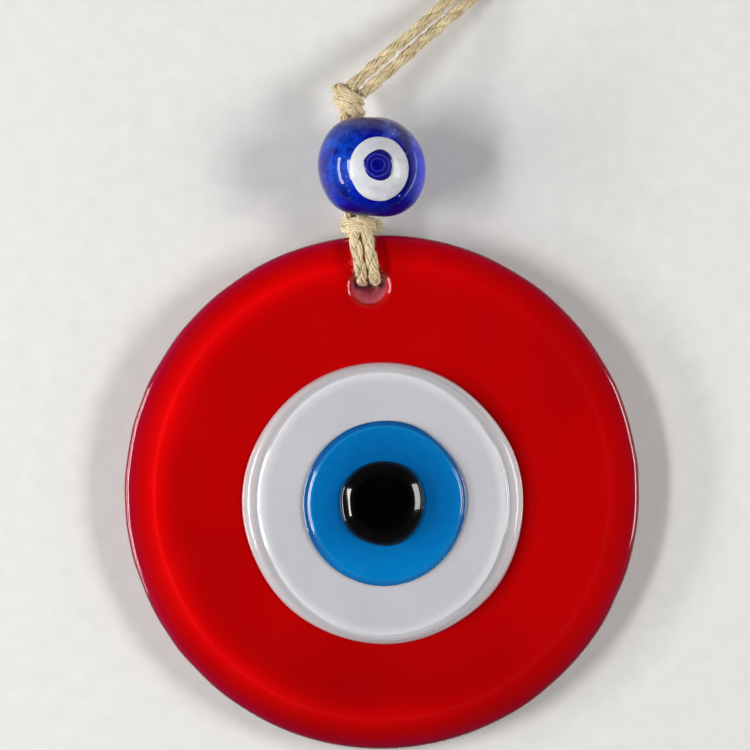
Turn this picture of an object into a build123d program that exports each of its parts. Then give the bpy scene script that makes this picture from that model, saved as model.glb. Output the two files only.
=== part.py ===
from build123d import *
import math
import os

os.makedirs("parts", exist_ok=True)

# An evil eye ornament lying on its back on a table, in millimetres.
# +Z is the way the eye looks. +Y runs from the eye to the hanging loop.
# The origin is on the table, under the middle of the red disc.

# Red glass disc
disc_radius = 45.0
disc_thickness = 5.2
rim_widest_height = 2.0  # also the radius of the rim's lower edge
rim_shoulder = 6.5  # how far in from the rim the face starts to fall
rim_edge = (43.8, 4.72)  # where the falling face turns down into the rim, and how high
rim_edge_fall = -0.2  # slope of the face there
rim_straight_top = 3.3  # the rim is upright up to this height
hole_radius = 3.0
hole_offset = 36.0  # from the disc's middle to the hole's
hole_flare = 1.2  # radius of the hole's rounded mouth
hole_back_round = 1.0
cut_overshoot = 1.0  # how far the hole's cutter passes the glass

# Raised glass layers on the red disc: where each one's middle is, its radius, height and rounding
white_centre = (0.06, -1.95)
white_radius = 24.55
white_height = 1.25
white_shoulder = 2.8
blue_centre = (0.29, -1.86)
blue_radius = 14.3
blue_height = 0.95
blue_shoulder = 1.8
pupil_centre = (0.0, -1.75)
pupil_radius = 7.45
pupil_height = 1.7

# Hemp twine
twine_diameter = 2.1
twine_pitch = 2.16  # between the middles of two strands side by side
twine_radius = twine_diameter / 2
strand_in_lower_knot = 0.5  # how far a bead strand's end is from each knot's middle
strand_in_upper_knot = 1.5

# Glass bead, threaded off its middle
bead_radius = 9.2  # square to the bore
bead_half_length = 8.6  # along the bore
bead_end_radius = 2.4  # of its flattened ends
bead_centre = (1.7, 56.65, 9.85)  # it hangs between the knots, just clear of the table
bore_radius = 2.45
bore_x = -1.4
bore_z = 7.8
eye_lean = (1.2, -0.6, 8.9)  # from the bead's middle towards the middle of its eye
eye_half_width = 5.15
eye_half_height = 5.7
eye_floor = 6.2  # from the bead's middle to the bottom of the white dot
eye_proud = 0.1
iris_shift = (-0.1, 0.7)  # the blue dot sits a little above the white one's middle
iris_radius = 2.6
iris_floor = 7.9

# Knots, round about a line along Y: middle, radius and half the length
lower_knot_centre = (-1.2, 46.65, 7.2)
lower_knot_radius = 3.3
lower_knot_half_length = 1.55
upper_knot_centre = (-1.6, 68.3, 7.8)
upper_knot_radius = 2.9
upper_knot_half_length = 3.0
knot_end_radius = 0.8

# The twine's two cut ends stick out of the lower knot's right side, one above the other
ends_half_width = 0.95
ends_half_height = 1.7
ends_reach = 4.6  # from the knot's middle
ends_lean = (1.0, -0.06, -0.08)
ends_upward = (0.08, 0.0, 1.0)

# The hanging loop, from the upper knot round and back into it. It slopes down to the table,
# lies on it, and opens out.
loop_height = twine_radius + 0.1  # of its middle line, where it lies on the table
loop_route = [
    (0.8, 69.4, 7.9),
    (7.5, 74.6, 6.7),
    (20.9, 85.1, 2.0),
    (31.0, 93.0, loop_height),
    (38.6, 103.0, loop_height),
    (42.6, 114.6, loop_height),
    (42.4, 127.0, loop_height),
    (36.4, 136.8, loop_height),
    (27.0, 139.6, loop_height),
    (19.9, 133.8, loop_height),
    (18.6, 122.0, loop_height),
    (21.6, 109.5, loop_height),
    (23.6, 97.5, loop_height),
    (19.5, 86.9, 2.1),
    (6.1, 76.5, 6.9),
    (-1.4, 70.6, 8.0),
]

# One strand of the tie, in the disc's own frame: how far along the disc's Y and how high above
# its back. It leaves the knot, crosses the rim, goes down the hole, and comes up behind the rim.
tie_route = [
    (46.2, 5.3),
    (43.1, 6.1),
    (39.6, 7.0),
    (37.15, 4.8),
    (37.15, -1.15),
    (45.5, -1.15),
    (46.9, 3.6),
]
tie_fold_radii = [3.2, 2.6, 2.2, 1.9, 2.4]
tie_knot_x = -1.2  # middle of the pair in the knot
tie_hole_x = 0.0  # and in the hole

# The disc leans on the two strands that pass behind it, and touches the table at its far side.
flat_back_radius = disc_radius - rim_widest_height
disc_lean = 1.62  # degrees
back_height = flat_back_radius * math.sin(math.radians(disc_lean))
lean_sine = math.sin(math.radians(disc_lean))
lean_cosine = math.cos(math.radians(disc_lean))
disc_plane = Plane(
    origin=(0, 0, back_height),
    x_dir=(1, 0, 0),
    z_dir=(0, -lean_sine, lean_cosine),
)


def upright_plane(centre, height):
    """The plane of a turned profile: its X runs out from centre, and its Y is the disc's normal."""
    foot = disc_plane.from_local_coords((*centre, height))
    return Plane(origin=foot, x_dir=disc_plane.x_dir, z_dir=-disc_plane.y_dir)


def turning_axis(centre):
    return Axis(disc_plane.from_local_coords((*centre, 0)), disc_plane.z_dir)


def glass_layer(centre, foot, radius, height, shoulder):
    """A flat glass layer with a rounded top edge, standing at height foot."""
    with BuildSketch(upright_plane(centre, foot)) as profile:
        with BuildLine():
            Line((0, 0), (radius, 0))
            EllipticalCenterArc((radius - shoulder, 0), shoulder, height, 0, arc_size=90)
            Line((radius - shoulder, height), (0, height))
            Line((0, height), (0, 0))
        make_face()
    revolve(profile.sketch, axis=turning_axis(centre))


def lump(centre, radius, half_length, end_radius):
    """A round lump with flat ends, turned about a line along Y."""
    with BuildSketch(Plane(centre)) as profile:
        with BuildLine():
            Line((0, -half_length), (end_radius, -half_length))
            Spline(
                (end_radius, -half_length),
                (radius, 0),
                (end_radius, half_length),
                tangents=((1, 0.25), (-1, 0.25)),
            )
            Line((end_radius, half_length), (0, half_length))
            Line((0, half_length), (0, -half_length))
        make_face()
    revolve(profile.sketch, axis=Axis(centre, (0, 1, 0)))


def arc_radii(points):
    """For each inner point, 0.45 of the shorter run over the tangent of half the turn."""
    corners = [Vector(*p) for p in points]
    radii = []
    for before, here, after in zip(corners, corners[1:], corners[2:]):
        half_turn = math.radians((here - before).get_angle(after - here)) / 2
        shorter = min((here - before).length, (after - here).length)
        radii.append(0.45 * shorter / math.tan(half_turn))
    return radii


# --- the eye disc ---
with BuildPart() as red_disc:
    with BuildSketch(upright_plane((0, 0), 0)):
        with BuildLine():
            Line((0, 0), (flat_back_radius, 0))
            CenterArc((flat_back_radius, rim_widest_height), rim_widest_height, -90, 90)
            Line((disc_radius, rim_widest_height), (disc_radius, rim_straight_top))
            Spline(
                (disc_radius, rim_straight_top),
                rim_edge,
                tangents=((0, 1), (-1, -rim_edge_fall)),
            )
            Spline(
                rim_edge,
                (disc_radius - rim_shoulder, disc_thickness),
                tangents=((-1, -rim_edge_fall), (-1, 0)),
            )
            Line((disc_radius - rim_shoulder, disc_thickness), (0, disc_thickness))
            Line((0, disc_thickness), (0, 0))
        make_face()
    revolve(axis=turning_axis((0, 0)))
    with BuildSketch(upright_plane((0, hole_offset), 0)):
        with BuildLine():
            Polyline(
                (hole_radius + hole_back_round, 0),
                (hole_radius + hole_back_round, -cut_overshoot),
                (0, -cut_overshoot),
                (0, disc_thickness + cut_overshoot),
                (hole_radius + hole_flare, disc_thickness + cut_overshoot),
                (hole_radius + hole_flare, disc_thickness),
            )
            CenterArc(
                (hole_radius + hole_flare, disc_thickness - hole_flare), hole_flare, 90, 90
            )
            Line(
                (hole_radius, disc_thickness - hole_flare), (hole_radius, hole_back_round)
            )
            CenterArc(
                (hole_radius + hole_back_round, hole_back_round), hole_back_round, 180, 90
            )
        make_face()
    revolve(axis=turning_axis((0, hole_offset)), mode=Mode.SUBTRACT)
red_disc.part.label = "red_disc"

with BuildPart() as white_disc:
    glass_layer(white_centre, disc_thickness, white_radius, white_height, white_shoulder)
white_disc.part.label = "white_disc"

white_top = disc_thickness + white_height
with BuildPart() as blue_disc:
    glass_layer(blue_centre, white_top, blue_radius, blue_height, blue_shoulder)
blue_disc.part.label = "blue_disc"

blue_top = white_top + blue_height
with BuildPart() as black_pupil:
    with BuildSketch(upright_plane(pupil_centre, blue_top)):
        with BuildLine():
            Line((0, 0), (pupil_radius, 0))
            Spline(
                (pupil_radius, 0),
                (pupil_radius * math.sqrt(0.5), pupil_height * math.sqrt(0.5)),
                (0, pupil_height),
                tangents=((0, 1), (-1, 0)),
            )
            Line((0, pupil_height), (0, 0))
        make_face()
    revolve(axis=turning_axis(pupil_centre))
black_pupil.part.label = "black_pupil"

# --- the bead ---
eye_plane = Plane(origin=bead_centre, x_dir=(1, 0, 0), z_dir=eye_lean)
bore_plane = Plane(
    origin=(bore_x, bead_centre[1] - bead_radius, bore_z), x_dir=(1, 0, 0), z_dir=(0, 1, 0)
)

with BuildPart() as bead_body:
    lump(bead_centre, bead_radius, bead_half_length, bead_end_radius)
    with BuildSketch(bore_plane):
        Circle(bore_radius)
    extrude(amount=2 * bead_radius, mode=Mode.SUBTRACT)
    with BuildSketch(eye_plane.offset(eye_floor)):
        Ellipse(eye_half_width, eye_half_height)
    extrude(amount=bead_radius, mode=Mode.SUBTRACT)
bead_body.part.label = "bead_body"

with BuildPart() as bead_eye_white:
    lump(bead_centre, bead_radius + eye_proud, bead_half_length, bead_end_radius)
    with BuildSketch(eye_plane.offset(eye_floor)):
        Ellipse(eye_half_width, eye_half_height)
    extrude(amount=bead_radius, mode=Mode.INTERSECT)
    with BuildSketch(eye_plane.offset(iris_floor)):
        with Locations(iris_shift):
            Circle(iris_radius)
    extrude(amount=bead_radius, mode=Mode.SUBTRACT)
bead_eye_white.part.label = "bead_eye_white"

with BuildPart() as bead_eye_blue:
    lump(bead_centre, bead_radius + 2 * eye_proud, bead_half_length, bead_end_radius)
    with BuildSketch(eye_plane.offset(iris_floor)):
        with Locations(iris_shift):
            Circle(iris_radius)
    extrude(amount=bead_radius, mode=Mode.INTERSECT)
bead_eye_blue.part.label = "bead_eye_blue"

# --- the knots, as plain lumps of their true size ---
with BuildPart() as lower_knot:
    lump(lower_knot_centre, lower_knot_radius, lower_knot_half_length, knot_end_radius)
lower_knot.part.label = "lower_knot"

with BuildPart() as upper_knot:
    lump(upper_knot_centre, upper_knot_radius, upper_knot_half_length, knot_end_radius)
upper_knot.part.label = "upper_knot"

with BuildPart() as twine_ends:
    with BuildSketch(Plane(origin=lower_knot_centre, x_dir=ends_upward, z_dir=ends_lean)):
        Ellipse(ends_half_height, ends_half_width)
    extrude(amount=ends_reach)
    add(lower_knot.part, mode=Mode.SUBTRACT)
twine_ends.part.label = "twine_ends"


# --- the twine ---
def tie_points(side):
    """The route of one strand of the tie. side is -1 on the left and 1 on the right."""
    lowest = min(y for y, z in tie_route)
    highest = max(y for y, z in tie_route)
    points = []
    for y, z in tie_route:
        share = (y - lowest) / (highest - lowest)
        middle_x = tie_hole_x + share * (tie_knot_x - tie_hole_x)
        x = middle_x + side * twine_pitch / 2
        points.append(disc_plane.from_local_coords((x, y, z)))
    return points


with BuildPart() as tie_strand_left:
    with BuildLine() as left_route:
        FilletPolyline(*tie_points(-1), radius=tie_fold_radii)
    with BuildSketch(left_route.line ^ 0):
        Circle(twine_radius)
    sweep(path=left_route.line)
    add(lower_knot.part, mode=Mode.SUBTRACT)
tie_strand_left.part.label = "tie_strand_left"

with BuildPart() as tie_strand_right:
    with BuildLine() as right_route:
        FilletPolyline(*tie_points(1), radius=tie_fold_radii)
    with BuildSketch(right_route.line ^ 0):
        Circle(twine_radius)
    sweep(path=right_route.line)
    add(lower_knot.part, mode=Mode.SUBTRACT)
tie_strand_right.part.label = "tie_strand_right"

strand_foot_y = lower_knot_centre[1] + strand_in_lower_knot
strand_top_y = upper_knot_centre[1] - strand_in_upper_knot
strand_plane = Plane(origin=(bore_x, strand_foot_y, bore_z), x_dir=(1, 0, 0), z_dir=(0, 1, 0))

with BuildPart() as bead_strand_left:
    with BuildSketch(strand_plane):
        with Locations((-twine_pitch / 2, 0)):
            Circle(twine_radius)
    extrude(amount=strand_top_y - strand_foot_y)
    add([lower_knot.part, upper_knot.part], mode=Mode.SUBTRACT)
bead_strand_left.part.label = "bead_strand_left"

with BuildPart() as bead_strand_right:
    with BuildSketch(strand_plane):
        with Locations((twine_pitch / 2, 0)):
            Circle(twine_radius)
    extrude(amount=strand_top_y - strand_foot_y)
    add([lower_knot.part, upper_knot.part], mode=Mode.SUBTRACT)
bead_strand_right.part.label = "bead_strand_right"

loop_radii = arc_radii(loop_route)
with BuildPart() as hanger_loop:
    with BuildLine() as loop_line:
        FilletPolyline(*loop_route, radius=loop_radii)
    with BuildSketch(loop_line.line ^ 0):
        Circle(twine_radius)
    sweep(path=loop_line.line)
    loop_volume = hanger_loop.part.volume
    add(upper_knot.part, mode=Mode.SUBTRACT)
hanger_loop.part.label = "hanger_loop"

loop_length = loop_line.wire().length
section_times_length = math.pi * twine_radius**2 * loop_length
print("loop arc radii:", [round(r, 1) for r in loop_radii])
print("loop length:", round(loop_length, 1))
print("loop volume over section times length:", round(loop_volume / section_times_length, 4))

# --- one STEP file for each piece ---
for piece in (
    red_disc,
    white_disc,
    blue_disc,
    black_pupil,
    bead_body,
    bead_eye_white,
    bead_eye_blue,
    lower_knot,
    upper_knot,
    twine_ends,
    tie_strand_left,
    tie_strand_right,
    bead_strand_left,
    bead_strand_right,
    hanger_loop,
):
    export_step(piece.part, f"parts/{piece.part.label}.step")
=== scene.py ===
import math
import random

import bmesh
import bpy
from mathutils import Matrix, Vector, noise
from mathutils.bvhtree import BVHTree


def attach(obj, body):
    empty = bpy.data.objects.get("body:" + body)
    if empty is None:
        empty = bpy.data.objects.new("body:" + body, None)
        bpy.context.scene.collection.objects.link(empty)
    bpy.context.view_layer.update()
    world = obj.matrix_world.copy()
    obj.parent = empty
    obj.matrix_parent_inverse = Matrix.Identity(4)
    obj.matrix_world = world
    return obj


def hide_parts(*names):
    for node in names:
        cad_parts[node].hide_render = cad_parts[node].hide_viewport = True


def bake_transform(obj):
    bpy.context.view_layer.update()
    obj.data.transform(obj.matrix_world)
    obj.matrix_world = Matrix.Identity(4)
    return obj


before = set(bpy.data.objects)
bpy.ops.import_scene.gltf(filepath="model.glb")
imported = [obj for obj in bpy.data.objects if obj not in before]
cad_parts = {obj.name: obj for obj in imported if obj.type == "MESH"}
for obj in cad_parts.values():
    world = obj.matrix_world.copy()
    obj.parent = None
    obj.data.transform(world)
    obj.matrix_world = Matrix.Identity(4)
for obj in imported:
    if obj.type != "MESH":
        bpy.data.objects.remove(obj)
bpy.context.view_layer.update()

mm = 0.001
scene = bpy.context.scene

# The disc's own frame: origin in the middle of its back, Z the way the eye looks.
# It leans on the two strands behind it.
discLean = math.radians(1.62)
flatBackRadius = 43.0
discFrame = Matrix.Rotation(discLean, 4, "X")
discFrame.translation.z = flatBackRadius * math.sin(discLean) * mm


# the camera looks straight down on the ornament
camera = {
    "target": (0.07, 20.4, 5.0),  # mm, the middle of the view
    "height": 1200,
    "viewWidth": 131.1,  # at the target
    "turn": -3.5,  # degrees, the ornament lies a little askew in the view
    "clipEnd": 20,  # metres
}


def makeCamera():
    data = bpy.data.cameras.new("viewCamera")
    viewer = bpy.data.objects.new("viewCamera", data)
    scene.collection.objects.link(viewer)
    x, y, z = camera["target"]
    viewer.location = Vector((x, y, z + camera["height"])) * mm
    viewer.rotation_euler = (0, 0, math.radians(camera["turn"]))
    data.lens = data.sensor_width * camera["height"] / camera["viewWidth"]
    data.clip_end = camera["clipEnd"]
    scene.camera = viewer


makeCamera()
scene.view_settings.view_transform = "Standard"
print("camera set")


# helpers for meshes
def newObject(name, mesh):
    piece = bpy.data.objects.new(name, mesh)
    scene.collection.objects.link(piece)
    return piece


def settledMesh(piece):
    # the mesh as it is with its modifiers, or of a curve with its thickness
    bpy.context.view_layer.update()
    graph = bpy.context.evaluated_depsgraph_get()
    mesh = bpy.data.meshes.new_from_object(piece.evaluated_get(graph), depsgraph=graph)
    mesh.name = piece.name
    return mesh


def discard(piece):
    bpy.data.objects.remove(piece, do_unlink=True)


def markSharp(bm, angle):
    # an edge is sharp only where its two faces turn more than the angle, in degrees
    limit = math.radians(angle)
    for edge in bm.edges:
        edge.smooth = not edge.is_manifold or edge.calc_face_angle(0) < limit


def meshFrom(bm, name, sharpAngle=40):
    bmesh.ops.recalc_face_normals(bm, faces=bm.faces)
    for face in bm.faces:
        face.smooth = True
    markSharp(bm, sharpAngle)
    mesh = bpy.data.meshes.new(name)
    bm.to_mesh(mesh)
    bm.free()
    return mesh


weld = {"turned": 0.002, "thinnest": 0.0005, "cut": 0.001}  # mm


def spunForm(profile, turns, axis=(0, 0, 1)):
    # profile is (distance from the axis, height along it) in mm, from pole to pole
    bm = bmesh.new()
    along = Vector(axis)
    out = along.orthogonal().normalized() if along.z == 0 else Vector((1, 0, 0))
    corners = [bm.verts.new((out * r + along * h) * mm) for r, h in profile]
    edges = [bm.edges.new(pair) for pair in zip(corners, corners[1:])]
    bmesh.ops.spin(
        bm, geom=corners + edges, cent=(0, 0, 0), axis=along,
        angle=math.tau, steps=turns, use_merge=True,
    )
    bmesh.ops.remove_doubles(bm, verts=bm.verts, dist=weld["turned"] * mm)
    bmesh.ops.dissolve_degenerate(bm, edges=bm.edges, dist=weld["thinnest"] * mm)
    bmesh.ops.recalc_face_normals(bm, faces=bm.faces)
    return bm


def quarterRound(centre, across, up, start, end, steps):
    # points on an ellipse, angles in degrees
    points = []
    for i in range(steps + 1):
        angle = math.radians(start + (end - start) * i / steps)
        points.append((centre[0] + across * math.cos(angle), centre[1] + up * math.sin(angle)))
    return points


def softened(corners, rounds=3):
    # cuts the corners of a profile again and again, and leaves its two ends where they are
    for _ in range(rounds):
        cut = [corners[0]]
        for (r1, h1), (r2, h2) in zip(corners, corners[1:]):
            for near, far in ((0.75, 0.25), (0.25, 0.75)):
                cut.append((near * r1 + far * r2, near * h1 + far * h2))
        corners = cut + [corners[-1]]
    return corners


def flatRun(start, end, height, steps):
    return [(start + (end - start) * i / steps, height) for i in range(steps)]


def cutBy(piece, cutter, sharpAngle=40):
    # cuts the turned cutter out of the piece, and keeps flat faces looking flat
    cut = piece.modifiers.new("cut", "BOOLEAN")
    cut.object = cutter
    cut.operation = "DIFFERENCE"
    cut.solver = "EXACT"
    mesh = settledMesh(piece)
    piece.modifiers.remove(cut)
    piece.data = mesh
    discard(cutter)
    bm = bmesh.new()
    bm.from_mesh(mesh)
    bmesh.ops.remove_doubles(bm, verts=bm.verts, dist=weld["cut"] * mm)
    markSharp(bm, sharpAngle)
    bm.to_mesh(mesh)
    bm.free()
    even = piece.modifiers.new("evenNormals", "WEIGHTED_NORMAL")
    even.keep_sharp = True
    piece.data = settledMesh(piece)
    piece.modifiers.clear()


def finishPiece(piece, material, body, slot, *nodes):
    piece.data.materials.clear()
    piece.data.materials.append(material)
    if body:
        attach(piece, body)
    if nodes:
        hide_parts(*nodes)


# helpers for materials
def addNode(tree, kind, inputs=(), **settings):
    # inputs pairs a socket's name or number with a value or another node's output
    node = tree.nodes.new("ShaderNode" + kind)
    for name, value in settings.items():
        setattr(node, name, value)
    for name, value in inputs:
        if isinstance(value, bpy.types.NodeSocket):
            tree.links.new(value, node.inputs[name])
        else:
            node.inputs[name].default_value = value
    return node


def newFinish(name):
    material = bpy.data.materials.new(name)
    material.use_nodes = True
    tree = material.node_tree
    return material, tree, tree.nodes["Principled BSDF"]


def setShader(shader, **values):
    for name, value in values.items():
        shader.inputs[name.replace("_", " ")].default_value = value


def ramp(tree, fac, stops):
    # stops pairs a place on the band with a colour
    node = addNode(tree, "ValToRGB", [("Fac", fac)])
    band = node.color_ramp
    while len(band.elements) > 1:
        band.elements.remove(band.elements[-1])
    band.elements[0].position = stops[0][0]
    band.elements[0].color = (*stops[0][1], 1)
    for place, colour in stops[1:]:
        band.elements.new(place).color = (*colour, 1)
    return node.outputs["Color"]


def mixed(tree, fac, a, b, mode="MIX"):
    node = addNode(tree, "Mix", data_type="RGBA", blend_type=mode)
    # a Mix node has its colour sockets after those for numbers and vectors
    for socket, value in ((node.inputs[0], fac), (node.inputs[6], a), (node.inputs[7], b)):
        if isinstance(value, bpy.types.NodeSocket):
            tree.links.new(value, socket)
        else:
            socket.default_value = value if isinstance(value, float) else (*value, 1)
    return node.outputs[2]


def maths(tree, operation, a, b=0.0, clamp=False):
    node = addNode(tree, "Math", [(0, a), (1, b)], operation=operation, use_clamp=clamp)
    return node.outputs[0]


def times(tree, a, b, clamp=False):
    return maths(tree, "MULTIPLY", a, b, clamp)


def vectorMaths(tree, operation, a, b=(0, 0, 0)):
    node = addNode(tree, "VectorMath", [(0, a), (1, b)], operation=operation)
    return node.outputs["Value" if operation in ("LENGTH", "DISTANCE") else "Vector"]


def flattened(tree, place):
    # the same place without its height, and its distance from the middle
    flat = vectorMaths(tree, "MULTIPLY", place, (1, 1, 0))
    return flat, vectorMaths(tree, "LENGTH", flat)


def partsOf(tree, place):
    outputs = addNode(tree, "SeparateXYZ", [("Vector", place)]).outputs
    return outputs["X"], outputs["Y"], outputs["Z"]


def spread(tree, value, low, high, toLow=0.0, toHigh=1.0):
    node = addNode(tree, "MapRange", [(0, value), (1, low), (2, high), (3, toLow), (4, toHigh)])
    return node.outputs[0]


def cloudNoise(tree, place, scale, detail=3.0, roughness=0.5, distortion=0.0):
    inputs = [("Vector", place), ("Scale", scale), ("Detail", detail),
              ("Roughness", roughness), ("Distortion", distortion)]
    return addNode(tree, "TexNoise", inputs).outputs["Fac"]


def bumped(tree, shader, height, distance, strength=1.0):
    node = addNode(tree, "Bump", [("Height", height), ("Distance", distance), ("Strength", strength)])
    tree.links.new(node.outputs[0], shader.inputs["Normal"])


def objectPlace(tree, middle=(0, 0, 0)):
    # object coordinates with the pattern's middle moved to a point, in metres
    place = addNode(tree, "TexCoord").outputs["Object"]
    return vectorMaths(tree, "SUBTRACT", place, middle)


# the twine: two plies of fibre bundles, laid along a line
twine = {
    "diameter": 2.1,
    "pitch": 2.16,  # two strands side by side
    "lay": 7.8,  # one turn of the two plies, right-handed
    "plyOffset": 0.45,
    "bundles": 9,  # fibre bundles round each ply, which is wider than it is deep
    "bundleDeep": 0.42,
    "bundleAcross": 0.67,
    "bundleRadius": 0.20,
    "coreRadius": 0.42,
    "step": 0.45,
    # how much each thing varies along the twine, and about how many mm a swing takes
    "swell": (0.16, 3.1),
    "turning": (0.6, 6),
    "slipping": (0.8, 4),
    "wander": (0.05, 1.7),
    "thickness": (0.32, 1.3),
}

loopHeight = 1.15
loopRoute = [
    (0.8, 69.4, 7.9), (7.5, 74.6, 6.7), (20.9, 85.1, 2.0), (31.0, 93.0, loopHeight),
    (38.6, 103.0, loopHeight), (42.6, 114.6, loopHeight), (42.4, 127.0, loopHeight),
    (36.4, 136.8, loopHeight), (27.0, 139.6, loopHeight), (19.9, 133.8, loopHeight),
    (18.6, 122.0, loopHeight), (21.6, 109.5, loopHeight), (23.6, 97.5, loopHeight),
    (19.5, 86.9, 2.1), (6.1, 76.5, 6.9), (-1.4, 70.6, 8.0),
]


def followed(route, name, place=None):
    # evenly spaced points on the smooth line that has the route, in mm, as its control points
    curve = bpy.data.curves.new(name, "CURVE")
    curve.dimensions = "3D"
    spline = curve.splines.new("NURBS")
    spline.points.add(len(route) - 1)
    for point, corner in zip(spline.points, route):
        corner = Vector(corner) * mm
        point.co = (*(place @ corner if place else corner), 1)
    spline.order_u = 3
    spline.use_endpoint_u = True
    spline.resolution_u = 24
    line = newObject(name, curve)
    corners = [v.co.copy() for v in settledMesh(line).vertices]
    discard(line)
    return evenly(corners, twine["step"] * mm)


def evenly(corners, step):
    runs = [(b - a).length for a, b in zip(corners, corners[1:])]
    total = sum(runs)
    count = max(4, round(total / step))
    points, passed, k = [], 0.0, 0
    for i in range(count + 1):
        wanted = total * i / count
        while k < len(runs) - 1 and passed + runs[k] < wanted:
            passed += runs[k]
            k += 1
        share = min(1, (wanted - passed) / runs[k]) if runs[k] else 0
        points.append(corners[k].lerp(corners[k + 1], share))
    return points


def lineLength(points):
    return sum((b - a).length for a, b in zip(points, points[1:]))


loopPath = followed(loopRoute, "loopLine")
print("loop line", round(lineLength(loopPath) / mm, 1), "mm")


def carriedFrames(points):
    # a point, two directions square to the line and the line's own, carried along without twist
    ahead = [(b - a).normalized() for a, b in zip(points, points[1:])]
    ahead.append(ahead[-1])
    side = ahead[0].cross(Vector((0, 0, 1)))
    if side.length < 0.1:
        side = ahead[0].cross(Vector((1, 0, 0)))
    side.normalize()
    frames = []
    for point, way in zip(points, ahead):
        side = (side - way * side.dot(way)).normalized()
        frames.append((point, side, way.cross(side), way))
    return frames


def wave(position, seed, amount):
    # slow random swings along a line, another set of them for each seed
    return amount * noise.noise(Vector((position, seed * 7.31, seed * 1.7)))


def varied(trait, along, seed):
    amount, length = twine[trait]
    return wave(along / length, seed, amount)


def laidFibres(points, seed):
    # the fibre bundles of one stretch of twine: (points, radii) of each
    frames = carriedFrames(points)
    step = lineLength(points) / (len(points) - 1)
    turnRate = math.tau / (twine["lay"] * mm)
    backRate = turnRate * (1 + twine["plyOffset"] / twine["bundleDeep"])
    bundles = []
    for ply in (0, 1):
        for k in range(twine["bundles"] + 1):
            core = k == twine["bundles"]
            key = seed * 20 + ply * 11 + k  # each bundle has its own swings
            line, radii = [], []
            for i, (point, side, up, way) in enumerate(frames):
                s = i * step / mm
                swell = 1 + varied("swell", s, seed * 3 + ply)
                turn = turnRate * s * mm + math.pi * ply + seed + varied("turning", s, seed + ply)
                out = side * math.cos(turn) + up * math.sin(turn)
                across = up * math.cos(turn) - side * math.sin(turn)
                spot = point + out * twine["plyOffset"] * swell * mm
                radius = twine["coreRadius"] * swell
                if not core:
                    own = math.tau * k / twine["bundles"] - backRate * s * mm + varied("slipping", s, key)
                    stray = varied("wander", s, key + 5)
                    deep = (twine["bundleDeep"] * swell + stray) * math.cos(own)
                    wide = (twine["bundleAcross"] * swell + stray) * math.sin(own)
                    spot += (out * deep + across * wide) * mm
                    radius = twine["bundleRadius"] * (1 + varied("thickness", s, key + 2))
                line.append(spot)
                radii.append(radius)
            bundles.append((line, radii))
    return bundles


def tubes(name, bundles, sides=1):
    # one mesh of round tubes, radii in mm
    curve = bpy.data.curves.new(name, "CURVE")
    curve.dimensions = "3D"
    curve.bevel_depth = 1 * mm
    curve.bevel_resolution = sides
    curve.use_fill_caps = True
    for line, radii in bundles:
        spline = curve.splines.new("POLY")
        spline.points.add(len(line) - 1)
        for point, spot, radius in zip(spline.points, line, radii):
            point.co = (*spot, 1)
            point.radius = radius
    holder = newObject(name + "Curve", curve)
    mesh = settledMesh(holder)
    mesh.name = name
    discard(holder)
    mesh.shade_smooth()
    return newObject(name, mesh)


fuzz = {
    "radius": 0.017,
    "shortest": 0.5,
    "longest": 2.1,
    "broken": (0.5, 1),  # the share that is left of a hair
    "lowest": 0.12,  # no hair goes under the table
    "root": 0.9,  # from the twine's middle
    "lean": (0.2, 1.6),
    "outward": (0.25, 1),
    "sideways": 0.7,
    "curl": 0.45,
    "thinning": 0.6,
    "runs": 4,
}


def hairs(points, perMillimetre, seed, longest=fuzz["longest"]):
    # short loose fibres that stand off a stretch of twine
    draw = random.Random(seed)
    frames = carriedFrames(points)
    amount = int(lineLength(points) / mm * perMillimetre)
    found = []
    for _ in range(amount):
        point, side, up, way = frames[draw.randrange(len(frames))]
        angle = draw.uniform(0, math.tau)
        out = side * math.cos(angle) + up * math.sin(angle)
        across = way.cross(out)
        length = draw.uniform(*fuzz["broken"]) * draw.uniform(fuzz["shortest"], longest) * mm
        heading = way * draw.choice((-1, 1)) * draw.uniform(*fuzz["lean"])
        heading += out * draw.uniform(*fuzz["outward"])
        heading += across * draw.uniform(-fuzz["sideways"], fuzz["sideways"])
        heading.normalize()
        curl = Vector([draw.uniform(-1, 1) for _ in range(3)]) * fuzz["curl"]
        spot = point + out * fuzz["root"] * mm
        line, radii = [], []
        for i in range(fuzz["runs"] + 1):
            share = i / fuzz["runs"]
            place = spot + heading * length * share + curl * length * share * share
            place.z = max(place.z, fuzz["lowest"] * mm)
            line.append(place)
            radii.append(fuzz["radius"] * (1 - fuzz["thinning"] * share))
        found.append((line, radii))
    return found


# the bead bears on the knots, and flattens what would reach into it
beadRoom = {"from": 47.95, "upTo": 65.6, "give": 0.16, "hairGive": 0.04}


def pressed(piece, give=beadRoom["give"]):
    low, high = beadRoom["from"], beadRoom["upTo"]
    middle = (low + high) / 2
    for vertex in piece.data.vertices:
        y = vertex.co.y / mm
        if low < y < middle:
            vertex.co.y = (low + (y - low) * give) * mm
        elif middle <= y < high:
            vertex.co.y = (high - (high - y) * give) * mm
    return piece


# hemp: pale fibres with darker ones between them
def hempFinish(name, light, deep):
    material, tree, shader = newFinish(name)
    place = objectPlace(tree)
    broad = cloudNoise(tree, place, 260, 3.0)
    fine = cloudNoise(tree, place, 2600, 4.0, 0.7)
    tone = maths(tree, "ADD", times(tree, broad, 0.45), times(tree, fine, 0.55))
    between = tuple((a + b) / 2 for a, b in zip(light, deep))
    colour = ramp(tree, tone, [(0.32, deep), (0.47, between), (0.6, light)])
    tree.links.new(colour, shader.inputs["Base Color"])
    setShader(shader, Roughness=0.82, Sheen_Weight=0.25, Sheen_Roughness=0.5, Specular_IOR_Level=0.25)
    bumped(tree, shader, fine, 0.00008, 0.6)
    return material


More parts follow.
